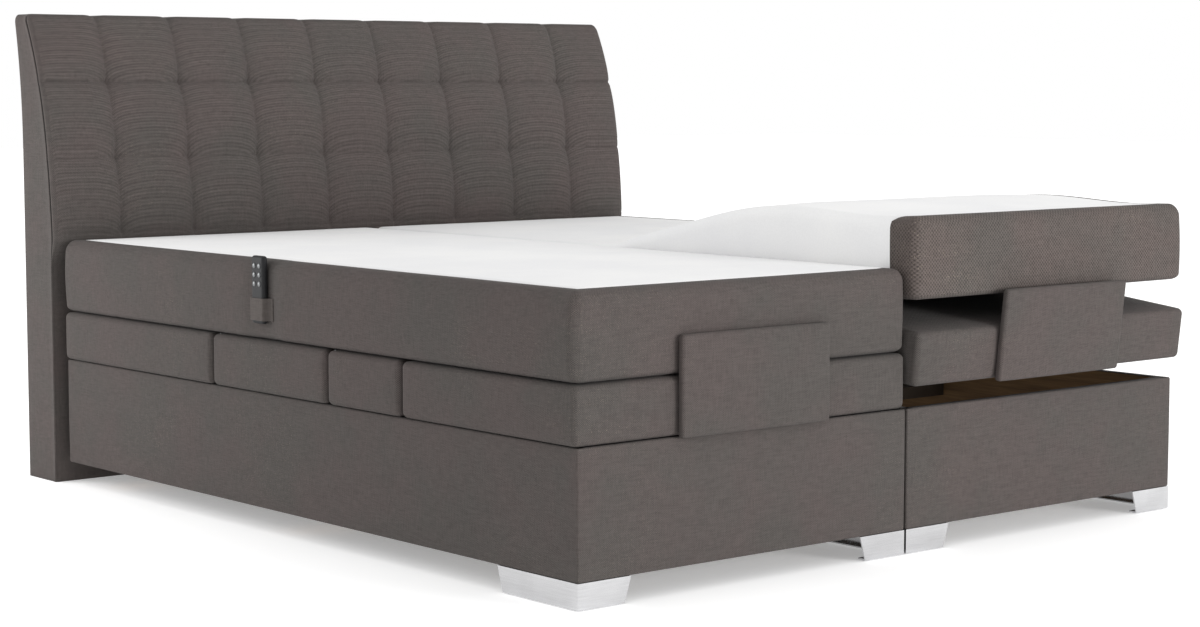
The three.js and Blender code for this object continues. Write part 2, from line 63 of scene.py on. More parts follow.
MATTRESS_TOP = 610.0

KNEE_Y = 567.0
THIGH_Y = 838.5
BACK_Y = 1304.0
SECTION_GAP = 8.0
UPPER_AXIS_Z = 427.0
LOWER_AXIS_Z = 315.6

# Folds of the mattress: the axis (y, z) and the degrees it turns for each degree of the thigh section.
THIGH_FOLD = (1000.0, 600.0)
KNEE_FOLD = (596.0, 450.0)
THIGH_FOLD_RATIO = 0.6
KNEE_FOLD_RATIO = -0.533

# The knee hinge's degrees for each degree of the thigh hinge, and the thigh hinge's angle at rest.
KNEE_RATIO = -28 / 21.6
RAISED = {"left": 0.0, "right": 21.6}

# Which side of the middle each half lies on.
SIDES = {"left": -1, "right": 1}

# Where each mattress piece ends and over which length it bends, counted along the flat mattress.
HEAD_CUT = 1100.0
KNEE_CUT = 815.0
THIGH_BEND = (1050.0, 900.0)
KNEE_BEND = (731.0, 100.0)
BEND_HEIGHT = 520.0

# White top panel: its inset from the edges, and from the foot end at the inner corner.
SEAM_INSET = 40.0
WRAP = 75.0

HEADBOARD_SIDE = 920.0
HEADBOARD_TOP = 1170.0
PADDING = 43.0
FLAT_PADDING = 8.0
PADDING_BACK = 2041.0
BOARD_BACK = 2181.0
COLUMN = 210.0
ROWS = (620.0, 810.0, 1000.0, 1166.0)

# Seam around the side of the padding, as a share of the padding's depth.
EDGE_SEAM = -0.56

# Relief of the padding: a wide valley and a sharp crease in it at seams and rows, and round tufts.
VALLEY_WIDTH = 18.0
CREASE_WIDTH = 4.5
SEAM_VALLEY = 7.5
SEAM_CREASE = 3.5
ROW_VALLEY = 6.0
ROW_CREASE = 4.0
TUFT_DEPTH = 13.0
TUFT_SHARES = (0.55, 1.0, 1.0)
ROW_SHARES = (0.3, 0.5, 1.0)

# Cloth pass of the padding, as for the section pads.
PADDING_PRESSURE = 14.0
PADDING_CAP = 6.0


# ---------------------------------------------------------------- small tools
def to_scene(points):
    """Bed coordinates in millimetres to the frame's metres."""
    return (np.asarray(points, float) - (0.0, ORIGIN_Y, 0.0)) / 1000


def smoothstep(t):
    t = np.clip(t, 0.0, 1.0)
    return t * t * (3 - 2 * t)


def ripple(u, v, seed):
    """Smooth uneven value between about -1 and 1 over a surface, different for each seed."""
    total = np.zeros_like(np.asarray(u, float))
    for i in range(1, 5):
        angle = seed * 1.7 + i * 2.4
        along = u * math.cos(angle) + v * math.sin(angle)
        total += np.sin(along * (0.6 + 0.45 * i) + seed * 3.1 + i) / 4
    return total


def turn_x(points, axis, degrees):
    """Turns points about the line along X through axis (y, z), lifting what lies toward the foot."""
    angle = np.radians(degrees)
    y = points[:, 1] - axis[0]
    z = points[:, 2] - axis[1]
    turned = points.copy()
    turned[:, 1] = axis[0] + y * np.cos(angle) + z * np.sin(angle)
    turned[:, 2] = axis[1] - y * np.sin(angle) + z * np.cos(angle)
    return turned


# ---------------------------------------------------------------- node materials
def node(tree, kind, **values):
    made = tree.nodes.new(kind)
    for key, value in values.items():
        setattr(made, key, value)
    return made


def math_node(tree, operation, *inputs):
    made = node(tree, "ShaderNodeMath", operation=operation)
    for socket, value in zip(made.inputs, inputs):
        if isinstance(value, (int, float)):
            socket.default_value = value
        else:
            tree.links.new(value, socket)
    return made.outputs[0]


def noise(tree, vector, scale, detail=2.0, roughness=0.5):
    made = node(tree, "ShaderNodeTexNoise")
    made.inputs["Scale"].default_value = scale
    made.inputs["Detail"].default_value = detail
    made.inputs["Roughness"].default_value = roughness
    tree.links.new(vector, made.inputs["Vector"])
    return made.outputs["Fac"]


def stretched(tree, vector, scale):
    made = node(tree, "ShaderNodeMapping")
    made.inputs["Scale"].default_value = scale
    tree.links.new(vector, made.inputs["Vector"])
    return made.outputs[0]


def ramp(tree, value, *stops):
    made = node(tree, "ShaderNodeValToRGB")
    elements = made.color_ramp.elements
    while len(elements) < len(stops):
        elements.new(0.5)
    for element, (place, colour) in zip(elements, stops):
        element.position = place
        element.color = (*colour, 1.0)
    tree.links.new(value, made.inputs[0])
    return made.outputs[0]


def mixed(tree, kind, factor, first, second):
    made = node(tree, "ShaderNodeMix", data_type="RGBA", blend_type=kind)
    for socket, value in ((made.inputs[0], factor), (made.inputs[6], first), (made.inputs[7], second)):
        if isinstance(value, (int, float, tuple)):
            socket.default_value = value
        else:
            tree.links.new(value, socket)
    return made.outputs[2]


def bump(tree, height, strength, distance):
    made = node(tree, "ShaderNodeBump")
    made.inputs["Strength"].default_value = strength
    made.inputs["Distance"].default_value = distance
    tree.links.new(height, made.inputs["Height"])
    return made.outputs[0]


def shader(name, roughness, metallic=0.0, sheen=0.0):
    """A new material with its shader and its object coordinates."""
    material = bpy.data.materials.new(name)
    material.use_nodes = True
    tree = material.node_tree
    surface = tree.nodes["Principled BSDF"]
    surface.inputs["Roughness"].default_value = roughness
    surface.inputs["Metallic"].default_value = metallic
    surface.inputs["Sheen Weight"].default_value = sheen
    surface.inputs["Sheen Roughness"].default_value = 0.45
    return material, tree, surface, node(tree, "ShaderNodeTexCoord")


def thread_height(tree, coordinates, period):
    """Height of a plain weave on faces that look along X, Y or Z, from 0 to 1."""
    split = node(tree, "ShaderNodeSeparateXYZ")
    tree.links.new(coordinates.outputs["Object"], split.inputs[0])
    facing = node(tree, "ShaderNodeSeparateXYZ")
    tree.links.new(coordinates.outputs["Normal"], facing.inputs[0])
    waves = [
        math_node(tree, "SINE", math_node(tree, "MULTIPLY", split.outputs[i], math.tau / period))
        for i in range(3)
    ]
    total = None
    for i in range(3):
        cross = math_node(tree, "MULTIPLY", waves[(i + 1) % 3], waves[(i + 2) % 3])
        weight = math_node(tree, "MULTIPLY", facing.outputs[i], facing.outputs[i])
        share = math_node(tree, "MULTIPLY", cross, weight)
        total = share if total is None else math_node(tree, "ADD", total, share)
    return math_node(tree, "MULTIPLY_ADD", total, 0.5, 0.5)


def weave(name, colour, tint, speck, period=0.0042, contrast=0.34, specks=0.5):
    """Furnishing fabric: plain weave, uneven threads, broad shifts of tint and a few light threads."""
    material, tree, surface, coordinates = shader(name, 0.92, sheen=0.04)
    place = coordinates.outputs["Object"]
    surface.inputs["Specular IOR Level"].default_value = 0.12
    threads = thread_height(tree, coordinates, period)
    across = noise(tree, stretched(tree, place, (1.0, 1.0, 0.12)), 330.0)
    along = noise(tree, stretched(tree, place, (0.12, 0.12, 1.0)), 330.0)
    slub = math_node(tree, "MULTIPLY", math_node(tree, "ADD", across, along), 0.5)
    height = math_node(tree, "ADD", math_node(tree, "MULTIPLY", threads, 0.8), slub)
    broad = noise(tree, place, 5.0, 3.0, 0.6)
    base = mixed(tree, "MIX", ramp(tree, broad, (0.38, (0, 0, 0)), (0.62, (1, 1, 1))),
                 (*colour, 1.0), (*tint, 1.0))
    low, high = 1 - contrast, 1 + contrast
    shade = ramp(tree, math_node(tree, "MULTIPLY", height, 0.8),
                 (0.42, (low, low, low)), (0.90, (high, high, high)))
    toned = mixed(tree, "MULTIPLY", 1.0, base, shade)
    flecks = ramp(tree, noise(tree, place, 700.0, 0.0), (0.74, (0, 0, 0)), (0.80, (1, 1, 1)))
    patches = ramp(tree, noise(tree, place, 3.0), (0.5, (0, 0, 0)), (0.62, (1, 1, 1)))
    amount = math_node(tree, "MULTIPLY", math_node(tree, "MULTIPLY", flecks, patches), specks)
    final = mixed(tree, "MIX", amount, toned, (*speck, 1.0))
    tree.links.new(final, surface.inputs["Base Color"])
    tree.links.new(bump(tree, height, 0.55, 0.0007), surface.inputs["Normal"])
    return material


def ribbed_weave(name, colour, tint, speck):
    """The headboard's cover: the same fabric with a rib that runs across and dips at the tufts."""
    material = weave(name, colour, tint, speck)
    tree = material.node_tree
    surface = tree.nodes["Principled BSDF"]
    coordinates = next(n for n in tree.nodes if n.bl_idname == "ShaderNodeTexCoord")
    split = node(tree, "ShaderNodeSeparateXYZ")
    tree.links.new(coordinates.outputs["Object"], split.inputs[0])
    level = math_node(tree, "MULTIPLY_ADD", split.outputs[1], 1.9, split.outputs[2])
    fading = noise(tree, stretched(tree, coordinates.outputs["Object"], (1.0, 1.0, 3.0)), 6.0)
    strength = ramp(tree, fading, (0.3, (0.35, 0.35, 0.35)), (0.6, (1, 1, 1)))
    upright = ramp(tree, split.outputs[2], (0.58, (0, 0, 0)), (0.66, (1, 1, 1)))
    amount = math_node(tree, "MULTIPLY", strength, upright)
    factor = 1.0
    for period, share in ((0.0105, 0.13), (0.027, 0.07)):
        wave = math_node(tree, "SINE", math_node(tree, "MULTIPLY", level, math.tau / period))
        rib = math_node(tree, "MULTIPLY", math_node(tree, "MULTIPLY", wave, amount), share)
        factor = math_node(tree, "ADD", rib, factor)
    colour_link = surface.inputs["Base Color"].links[0].from_socket
    shaded = mixed(tree, "MULTIPLY", 1.0, colour_link, factor)
    tree.links.new(shaded, surface.inputs["Base Color"])
    return material


def ticking(name):
    """White mattress cover: a fine knit with faint unevenness."""
    material, tree, surface, coordinates = shader(name, 0.9, sheen=0.15)
    place = coordinates.outputs["Object"]
    surface.inputs["Specular IOR Level"].default_value = 0.12
    knit = thread_height(tree, coordinates, 0.0032)
    soft = noise(tree, place, 260.0, 2.0)
    height = math_node(tree, "ADD", math_node(tree, "MULTIPLY", knit, 0.4), soft)
    broad = noise(tree, place, 4.0, 2.0)
    colour = ramp(tree, broad, (0.35, (0.75, 0.75, 0.755)), (0.65, (0.79, 0.788, 0.785)))
    shade = ramp(tree, height, (0.35, (0.95, 0.95, 0.95)), (0.85, (1, 1, 1)))
    tree.links.new(mixed(tree, "MULTIPLY", 1.0, colour, shade), surface.inputs["Base Color"])
    tree.links.new(bump(tree, height, 0.25, 0.0004), surface.inputs["Normal"])
    return material


def metal(name, colour, roughness, grain):
    """Bare or plated metal, brushed along X, with faint cloudy variation."""
    material, tree, surface, coordinates = shader(name, roughness, metallic=1.0)
    place = coordinates.outputs["Object"]
    brushed = noise(tree, stretched(tree, place, (0.03, 0.03, 1.0)), grain, 3.0)
    cloudy = noise(tree, place, 14.0, 2.0)
    dark = tuple(0.86 * c for c in colour)
    tone = math_node(tree, "MULTIPLY", math_node(tree, "ADD", brushed, cloudy), 0.5)
    tree.links.new(ramp(tree, tone, (0.35, dark), (0.65, colour)), surface.inputs["Base Color"])
    rough = math_node(tree, "MULTIPLY_ADD", brushed, 0.18, roughness - 0.09)
    tree.links.new(rough, surface.inputs["Roughness"])
    tree.links.new(bump(tree, brushed, 0.12, 0.0002), surface.inputs["Normal"])
    return material


def plastic(name, colour, roughness, grain=900.0, metallic=0.0, gloss=0.2):
    """Moulded plastic or powder coat with a fine grain and slightly uneven gloss."""
    material, tree, surface, coordinates = shader(name, roughness, metallic=metallic)
    surface.inputs["Specular IOR Level"].default_value = gloss
    place = coordinates.outputs["Object"]
    fine = noise(tree, place, grain, 2.0)
    cloudy = noise(tree, place, 30.0, 2.0)
    light = tuple(1.25 * c + 0.002 for c in colour)
    tree.links.new(ramp(tree, cloudy, (0.3, colour), (0.7, light)), surface.inputs["Base Color"])
    rough = math_node(tree, "MULTIPLY_ADD", cloudy, 0.14, roughness - 0.07)
    tree.links.new(rough, surface.inputs["Roughness"])
    tree.links.new(bump(tree, fine, 0.18, 0.0002), surface.inputs["Normal"])
    return material


def board(name):
    """Brown fibre board and raw wood: long grain lines along Y with darker pores."""
    material, tree, surface, coordinates = shader(name, 0.75)
    place = coordinates.outputs["Object"]
    warp = noise(tree, stretched(tree, place, (1.0, 0.08, 1.0)), 40.0, 4.0, 0.6)
    pores = noise(tree, stretched(tree, place, (1.0, 0.03, 1.0)), 300.0, 2.0)
    tone = math_node(tree, "MULTIPLY_ADD", pores, 0.35, math_node(tree, "MULTIPLY", warp, 0.65))
    colour = ramp(tree, tone, (0.35, (0.100, 0.053, 0.019)), (0.52, (0.165, 0.092, 0.035)),
                  (0.68, (0.230, 0.134, 0.054)))
    tree.links.new(colour, surface.inputs["Base Color"])
    tree.links.new(bump(tree, tone, 0.3, 0.0005), surface.inputs["Normal"])
    return material


TAUPE = (0.0635, 0.0572, 0.0535)
TAUPE_WARM = (0.0695, 0.0580, 0.0550)
TAUPE_LIGHT = (0.30, 0.26, 0.20)

FABRIC = weave("taupe_weave", TAUPE, TAUPE_WARM, TAUPE_LIGHT)
COARSE = weave("taupe_coarse_weave", (0.0700, 0.0620, 0.0570), (0.0780, 0.0640, 0.0590), TAUPE_LIGHT,
               period=0.0088, contrast=0.42, specks=1.0)
HEADBOARD_FABRIC = ribbed_weave("headboard_weave", (0.0715, 0.0640, 0.0598), (0.078, 0.0650, 0.0615),
                                TAUPE_LIGHT)
# Painted shadow: near-black fabric on the quads in the headboard's edge seam, standing in for the shade
# there.
SEAM_SHADOW_FABRIC = weave("seam_shadow", (0.016, 0.014, 0.013), (0.018, 0.015, 0.014), TAUPE)
WHITE = ticking("white_ticking")
WOOD = board("brown_board")
CHROME = metal("foot_metal", (0.62, 0.62, 0.63), 0.2, 500.0)
ZINC = metal("zinc_plate", (0.58, 0.59, 0.60), 0.36, 300.0)
BROWN_STEEL = plastic("brown_powder_coat", (0.032, 0.023, 0.016), 0.7, 500.0)
BLACK_PLASTIC = plastic("black_plastic", (0.010, 0.010, 0.011), 0.55)
KEY_SILVER = plastic("silver_keys", (0.13, 0.133, 0.136), 0.3, 1200.0, metallic=0.5, gloss=0.5)
BAND = weave("elastic_band", (0.078, 0.069, 0.064), (0.084, 0.072, 0.067), TAUPE_LIGHT,
             period=0.0026, contrast=0.3)


# ---------------------------------------------------------------- grids
def arc_lines(low, high, low_radius, high_radius, step, marks=(), arc=5):
    """Grid lines from low to high: close together in the rounded edges, and one at each mark."""
    tangents = [math.tan(math.pi / 4 * k / arc) for k in range(arc + 1)]
    start = [low + low_radius * (1 - t) for t in reversed(tangents)] if low_radius else [low]
    end = [high - high_radius * (1 - t) for t in tangents] if high_radius else [high]
    stops = sorted({start[-1], *marks, end[0]})
    inside = []
    for a, b in zip(stops, stops[1:]):
        count = max(1, round((b - a) / step))
        inside += [a + (b - a) * i / count for i in range(1, count + 1)]
    return start + inside + end[1:]


def box_grid(xs, ys, zs):
    """Surface of a box as a grid: its points, its quads and for each quad (axis, end)."""
    lines = (xs, ys, zs)
    last = [len(values) - 1 for values in lines]
    numbers = {}
    quads = []
    sides = []

    def number(place):
        return numbers.setdefault(place, len(numbers))

    for axis in range(3):
        u, v = (axis + 1) % 3, (axis + 2) % 3
        for end in (0, 1):
            for a in range(last[u]):
                for b in range(last[v]):
                    ring = [(a, b), (a + 1, b), (a + 1, b + 1), (a, b + 1)]
                    quad = []
                    for p, q in (ring if end else reversed(ring)):
                        place = [0, 0, 0]
                        place[axis], place[u], place[v] = last[axis] * end, p, q
                        quad.append(number(tuple(place)))
                    quads.append(quad)
                    sides.append((axis, end))
    points = np.array([[lines[k][place[k]] for k in range(3)] for place in numbers], float)
    return points, quads, sides


def rounded(points, low, high, low_radii, high_radii):
    """Rounds the edges of a box grid; a radius of 0 leaves the cap on that side flat and sharp."""
    low, high = np.asarray(low, float), np.asarray(high, float)
    low_radii, high_radii = np.asarray(low_radii, float), np.asarray(high_radii, float)
    nearest = np.clip(points, low + low_radii, high - high_radii)
    radii = np.where(points < nearest, low_radii, high_radii)
    offset = np.divide(points - nearest, radii, out=np.zeros_like(points), where=radii > 0)
    longest = np.abs(offset).max(axis=1)
    length = np.linalg.norm(offset, axis=1)
    scale = np.divide(longest, length, out=np.ones_like(length), where=length > 0)
    return nearest + offset * radii * scale[:, None]


def mesh_piece(name, points, quads, materials, chosen=None, sharp_caps=None):
    """A smooth-shaded mesh from bed coordinates; chosen gives each quad's material."""
    mesh = bpy.data.meshes.new(name)
    mesh.from_pydata(to_scene(points).tolist(), [], quads)
    for material in materials:
        mesh.materials.append(material)
    if chosen is not None:
        mesh.polygons.foreach_set("material_index", chosen)
    mesh.polygons.foreach_set("use_smooth", [True] * len(quads))
    if sharp_caps is not None:
        mark_sharp(mesh, sharp_caps)
    mesh.update()
    made = bpy.data.objects.new(name, mesh)
    bpy.context.scene.collection.objects.link(made)
    return made


def mark_sharp(mesh, is_cap):
    """Marks the edges between cap faces and the rest, so that the caps don't bend the shading."""
    kinds = {}
    for polygon in mesh.polygons:
        for key in polygon.edge_keys:
            kinds.setdefault(key, set()).add(bool(is_cap[polygon.index]))
    for edge in mesh.edges:
        edge.use_edge_sharp = len(kinds[edge.key]) == 2


# ---------------------------------------------------------------- mattress
CORNER_RADIUS = 24.0
TOP_RADIUS = 28.0
LOW_RADIUS = 14.0
STAND_OUT = 7.0
CROWN = 3.5
SEAM_DEPTH = 2.2
SIDE_SWELL = 5.0

# Underside of the mattress at the knee: how deep it is hollow, where along the bed, and the rim it keeps.
KNEE_HOLLOW = 17.0
HOLLOW_START = 430.0
HOLLOW_END = 765.0
HOLLOW_RIM = 25.0


def end_radii(foot, head):
    """Corner radius at each end of one length: none where it is cut from the next length."""
    return CORNER_RADIUS * (foot == 0), CORNER_RADIUS * (head == BED_LENGTH)


def mattress_lines(side, foot, head):
    """Grid lines of one length of a mattress from foot to head, with seam lines at the white panel."""
    outer = side * (HALF_CENTRE + HALF_WIDTH / 2)
    inner = side * (HALF_CENTRE - HALF_WIDTH / 2)
    seam = outer - side * SEAM_INSET
    ends = sorted((outer, inner))
    xs = arc_lines(*ends, CORNER_RADIUS, CORNER_RADIUS, 28.0, (seam - 2, seam, seam + 2), arc=7)
    seams = [place + d for place in (SEAM_INSET, BED_LENGTH - SEAM_INSET) for d in (-2, 0, 2)]
    marks = [y for y in seams if foot + 35 < y < head - 35]
    ys = arc_lines(foot, head, *end_radii(foot, head), 22.0, marks, arc=7)
    zs = arc_lines(MATTRESS_BOTTOM, MATTRESS_TOP, LOW_RADIUS, TOP_RADIUS, 14.0, arc=7)
    return xs, ys, zs


def top_rise(grid, side, edge):
    """Crown of the white panel, which falls off toward its edges."""
    crown = CROWN * smoothstep((edge - 20) / 160)
    crown += 0.7 * ripple(grid[:, 0] / 120, grid[:, 1] / 140, 2 + side)
    return np.where(grid[:, 2] >= MATTRESS_TOP - 1e-6, crown * smoothstep(edge / 60), 0.0)


def knee_hollow(grid, edge):
    """How far the underside is raised over the knee, where the mattress arches over the sections."""
    y = grid[:, 1]
    hollow = KNEE_HOLLOW * smoothstep((y - HOLLOW_START) / 100) * smoothstep((HOLLOW_END - y) / 100)
    under = grid[:, 2] <= MATTRESS_BOTTOM + 1e-6
    return np.where(under, hollow * smoothstep((edge - HOLLOW_RIM) / 60), 0.0)


def seam_groove(grid, from_outer, end):
    """Depth of the seam around the white panel."""
    on_seam = (np.abs(from_outer - SEAM_INSET) < 0.5) & (end > SEAM_INSET - 0.5)
    on_seam |= (np.abs(end - SEAM_INSET) < 0.5) & (from_outer > SEAM_INSET - 0.5)
    return np.where((grid[:, 2] >= MATTRESS_TOP - 1e-6) & on_seam, SEAM_DEPTH, 0.0)


def side_swell(grid, side, across):
    """How far the long sides stand out, less where the handset presses into the left mattress."""
    y = grid[:, 1]
    height = (grid[:, 2] - MATTRESS_BOTTOM) / (MATTRESS_TOP - MATTRESS_BOTTOM)
    full = np.sin(np.pi * np.clip(height, 0, 1))
    bulge = (SIDE_SWELL + 0.8 * ripple(y / 90, grid[:, 2] / 60, 5 + side)) * full
    sideways = np.where(across > 0, STAND_OUT + bulge, 0.5 * bulge)
    if side == SIDES["left"]:
        sideways *= 1 - 0.55 * smoothstep((75 - np.abs(y - HANDSET_Y)) / 40)
    return sideways


def mattress_shape(grid, side, foot, head):
    """Rounds a mattress length and gives it its crown, seam groove and soft sides."""
    centre = side * HALF_CENTRE
    low = (centre - HALF_WIDTH / 2, foot, MATTRESS_BOTTOM)
    high = (centre + HALF_WIDTH / 2, head, MATTRESS_TOP)
    foot_radius, head_radius = end_radii(foot, head)
    low_radii = (CORNER_RADIUS, foot_radius, LOW_RADIUS)
    high_radii = (CORNER_RADIUS, head_radius, TOP_RADIUS)
    points = rounded(wrapped(grid, side), low, high, low_radii, high_radii)
    across = side * (grid[:, 0] - centre) / (HALF_WIDTH / 2)
    from_outer = HALF_WIDTH / 2 * (1 - across)
    end = np.minimum(grid[:, 1], BED_LENGTH - grid[:, 1])
    edge = np.minimum(np.minimum(from_outer, HALF_WIDTH - from_outer), end)
    points[:, 2] += top_rise(grid, side, edge)
    points[:, 2] += knee_hollow(grid, edge)
    points[:, 2] -= seam_groove(grid, from_outer, end)
    spread = (points[:, 0] - centre) / (HALF_WIDTH / 2)
    swell = side_swell(grid, side, across)
    points[:, 0] += swell * np.sign(spread) * smoothstep((np.abs(spread) - 0.6) / 0.3)
    return points


def wrapped(grid, side):
    """Moves the foot seam toward the head on the inner side, where the grey border turns the corner."""
    moved = grid.copy()
    from_inner = side * grid[:, 0] - (HALF_CENTRE - HALF_WIDTH / 2)
    share = 1 - smoothstep(from_inner / 38)
    y = grid[:, 1]
    near = np.where(y < SEAM_INSET, (y - CORNER_RADIUS) / (SEAM_INSET - CORNER_RADIUS), (240 - y) / 200)
    moved[:, 1] += (WRAP - SEAM_INSET) * share * np.clip(near, 0, 1)
    return moved


def mattress_materials(points, quads, sides, side):
    """White for the panel on top and for the inner long side, grey for the rest."""
    chosen = []
    outer = side * (HALF_CENTRE + HALF_WIDTH / 2)
    for quad, (axis, end) in zip(quads, sides):
        x, y, _ = points[quad].mean(axis=0)
        in_length = SEAM_INSET < y < BED_LENGTH - SEAM_INSET
        in_panel = abs(outer - x) > SEAM_INSET
        on_top = axis == 2 and end == 1
        on_inner = axis == 0 and (end == 0) == (side > 0)
        chosen.append(1 if in_length and (on_inner or (on_top and in_panel)) else 0)
    return chosen


def raised_middle(points, angle):
    """Flat middle length to its place at rest: it bends from the seat into the raised lap.

    How far a point turns depends on where it ends up, so the turn is repeated until that settles.
    """
    start, end = THIGH_BEND
    raised = points.copy()
    for _ in range(12):
        weight = smoothstep((start - raised[:, 1]) / (start - end))
        raised = turn_x(points, THIGH_FOLD, weight * angle * THIGH_FOLD_RATIO)
    return raised


def knee_line(angle):
    """Start and end of the knee bend at rest, on the line that the foot length is measured along."""
    flat = np.array([[0.0, y, BEND_HEIGHT] for y in KNEE_BEND])
    flat[1:] = turn_x(flat[1:], KNEE_FOLD, angle * KNEE_FOLD_RATIO)
    return turn_x(flat, THIGH_FOLD, angle * THIGH_FOLD_RATIO)


def raised_leg(points, angle):
    """Flat foot length to its place at rest: lifted with the lap and bent back at the knee.

    The bend is found by repetition, as in raised_middle().
    """
    start, end = knee_line(angle)
    along = end - start
    raised = turn_x(points, THIGH_FOLD, angle * THIGH_FOLD_RATIO)
    for _ in range(20):
        weight = smoothstep((raised - start) @ along / (along @ along))
        bent = turn_x(points, KNEE_FOLD, weight * angle * KNEE_FOLD_RATIO)
        raised = turn_x(bent, THIGH_FOLD, angle * THIGH_FOLD_RATIO)
    return raised


def mattress_length(half, label, foot, head, place):
    """One length of a mattress, placed as it is at rest."""
    side = SIDES[half]
    grid, quads, sides = box_grid(*mattress_lines(side, foot, head))
    points = place(mattress_shape(grid, side, foot, head), RAISED[half])
    chosen = mattress_materials(grid, quads, sides, side)
    cuts = {end for end, y in ((0, foot), (1, head)) if y not in (0, BED_LENGTH)}
    caps = [axis == 1 and end in cuts for axis, end in sides]
    fabric = COARSE if half == "right" else FABRIC
    made = mesh_piece(f"{half}_mattress_{label}_cover", points, quads, [fabric, WHITE], chosen, caps)
    return made


def mattress(half):
    """The mattress in three lengths, shaped as they lie at rest: the lap bent up at the thigh, the foot
    length bent back at the knee.
    """
    angle = RAISED[half]
    upper = mattress_length(half, "head", HEAD_CUT, BED_LENGTH, lambda points, _: points)
    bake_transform(upper)
    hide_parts(f"{half}_mattress_back", f"{half}_mattress_seat")
    middle = mattress_length(half, "lap", KNEE_CUT, HEAD_CUT, raised_middle)
    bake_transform(middle)
    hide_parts(f"{half}_mattress_thigh")
    lower = mattress_length(half, "foot", 0.0, KNEE_CUT, raised_leg)
    start, end = (tuple(to_scene(point)) for point in knee_line(angle))
    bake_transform(lower)
    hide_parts(f"{half}_mattress_leg")


# ---------------------------------------------------------------- padded sections
# Cloth pass: its length, and for the pads the pressure and how far a point may move in millimetres.
CLOTH_FRAMES = 20
PAD_PRESSURE = 1.5
PAD_CAP = 1.6

# Each section pad: edge radius, swelling along X, Y and Z, and its clearances below and at the middle.
PAD_RADIUS = 13.0
PAD_BULGE = (2.5, 1.2, 0.9)
PAD_LIFT = 1.7
PAD_INNER_INSET = 1.5

# Stop pad: its extent from the middle of its half, edge radius and swelling.
STOP_LOW = (-200.0, -20.3, 311.0)
STOP_HIGH = (204.0, -2.6, 513.0)
STOP_RADIUS = 7.0
STOP_BULGE = (0.6, 0.8, 0.6)


def cloth_modifier(made, pressure):
    """Cloth under pressure without gravity, with the vertex group "held" pinned."""
    cloth = made.modifiers.new("cloth", "CLOTH")
    settings = cloth.settings
    settings.mass = 0.3
    settings.tension_stiffness = 40.0
    settings.compression_stiffness = 40.0
    settings.shear_stiffness = 10.0
    settings.bending_stiffness = 2.0
    settings.use_pressure = True
    settings.uniform_pressure_force = pressure
    settings.effector_weights.gravity = 0.0
    settings.vertex_group_mass = "held"
    cloth.point_cache.frame_start = 1
    cloth.point_cache.frame_end = CLOTH_FRAMES
    return cloth


def settled(made, held, pressure, cap):
    """Swells a piece as cloth under pressure: held points stay put, the rest move up to cap mm."""
    before = np.array([v.co for v in made.data.vertices])
    group = made.vertex_groups.new(name="held")
    group.add([int(i) for i in np.flatnonzero(held)], 1.0, "REPLACE")
    cloth = cloth_modifier(made, pressure)
    for step in range(1, CLOTH_FRAMES + 1):
        bpy.context.scene.frame_set(step)
    posed = made.evaluated_get(bpy.context.evaluated_depsgraph_get())
    move = np.array([v.co for v in posed.data.vertices]) - before
    made.modifiers.remove(cloth)
    made.vertex_groups.remove(group)
    bpy.context.scene.frame_set(1)
    length = np.linalg.norm(move, axis=1, keepdims=True) + 1e-12
    limit = cap / 1000
    move *= limit * np.tanh(length / limit) / length
    made.data.vertices.foreach_set("co", (before + move).ravel())
    made.data.update()


def cushion(name, low, high, radius, bulge, seed, step=20.0):
    """A firm upholstered block with rounded edges, slightly swollen and uneven faces."""
    low, high = np.array(low, float), np.array(high, float)
    lines = [arc_lines(a, b, radius, radius, step, arc=4) for a, b in zip(low, high)]
    grid, quads, _ = box_grid(*lines)
    points = rounded(grid, low, high, [radius] * 3, [radius] * 3)
    share = (grid - low) / (high - low)
    span = high - low
    for axis in range(3):
        u, v = (axis + 1) % 3, (axis + 2) % 3
        swell = 1.0
        for other in (u, v):
            from_edge = np.minimum(share[:, other], 1 - share[:, other]) * span[other]
            swell = swell * smoothstep(from_edge / min(50.0, span[other] / 2)) ** 0.6
        uneven = 0.25 * ripple(grid[:, u] / 45, grid[:, v] / 45, seed + axis)
        amount = swell * (bulge[axis] + uneven * min(1.0, bulge[axis]))
        points[:, axis] += np.where(share[:, axis] > 1 - 1e-9, amount, 0.0)
        points[:, axis] -= np.where(share[:, axis] < 1e-9, amount, 0.0)
    made = mesh_piece(name, points, quads, [FABRIC])
    on_edge = (np.minimum(grid - low, high - grid) < radius + 1).sum(axis=1) > 1
    settled(made, on_edge | (grid[:, 2] < low[2] + radius), PAD_PRESSURE, PAD_CAP)
    return made


def turned_piece(made, *turns):
    """Turns a finished piece about axes (y, z) given in bed coordinates, one after the other."""
    points = np.array([v.co for v in made.data.vertices]) * 1000 + (0.0, ORIGIN_Y, 0.0)
    for axis, degrees in turns:
        points = turn_x(points, axis, degrees)
    made.data.vertices.foreach_set("co", to_scene(points).ravel())
    made.data.update()


